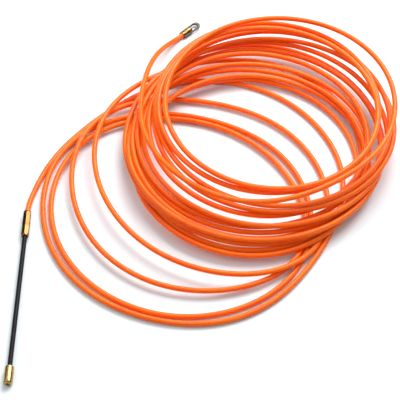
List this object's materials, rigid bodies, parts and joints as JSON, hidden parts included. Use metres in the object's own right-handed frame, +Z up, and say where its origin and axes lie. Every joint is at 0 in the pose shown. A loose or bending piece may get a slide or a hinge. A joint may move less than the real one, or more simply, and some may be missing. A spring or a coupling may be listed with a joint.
{
  "type": "nylon fish tape",
  "caption": "Loose springy coil of round nylon fish tape with a bendable leader and brass nose at the front and a slotted pulling eye at the rear.",
  "frame": {"origin": "middle of the whole object's footprint, on the surface that it lies on", "axes": "+Z up; -Y the way the leader and the nose point; +X to the main coil's side of the leader"},
  "size_m": [0.2817, 0.3539, 0.0446],
  "materials": {
    "nylon": "glossy",
    "brass": "polished",
    "sheath": "satin",
    "cable": "drawn wire",
    "plate": "dull plated"
  },
  "bodies": {
    "tape": {"tape_main_coil": "nylon", "tape_outer_loops": "nylon", "tape_middle_loop": "nylon", "tape_inner_loop": "nylon", "tape_front_lead": "nylon", "tape_back_run": "nylon", "tape_eye_lead": "nylon", "front_ferrule": "brass", "leader_core": "cable", "leader_sheath_root": "sheath", "rear_ferrule": "brass", "pulling_eye": "plate"},
    "leader_near": {"leader_sheath_near": "sheath"},
    "leader_far": {"leader_sheath_far": "sheath"},
    "nose": {"leader_sheath_tip": "sheath", "nose_tip": "brass"}
  },
  "joints": [
    {"name": "leader_swing_near", "type": "hinge", "parent": "tape", "child": "leader_near", "pos_m": [-0.1375, -0.075, 0.0032], "axis": [0, 0, 1], "range_deg": [-40, 40], "stiffness_Nm_per_rad": 0.05, "deforming": ["leader_core"]},
    {"name": "leader_lift", "type": "hinge", "parent": "leader_near", "child": "leader_far", "pos_m": [-0.1375, -0.108, 0.0032], "axis": [-1, 0, 0], "range_deg": [0, 60], "stiffness_Nm_per_rad": 0.05},
    {"name": "leader_swing_far", "type": "hinge", "parent": "leader_far", "child": "nose", "pos_m": [-0.1375, -0.138, 0.0032], "axis": [0, 0, 1], "range_deg": [-40, 40], "stiffness_Nm_per_rad": 0.05}
  ],
  "couplings": [
    {"joint": "leader_swing_far", "follows": "leader_swing_near", "ratio": 1}
  ]
}
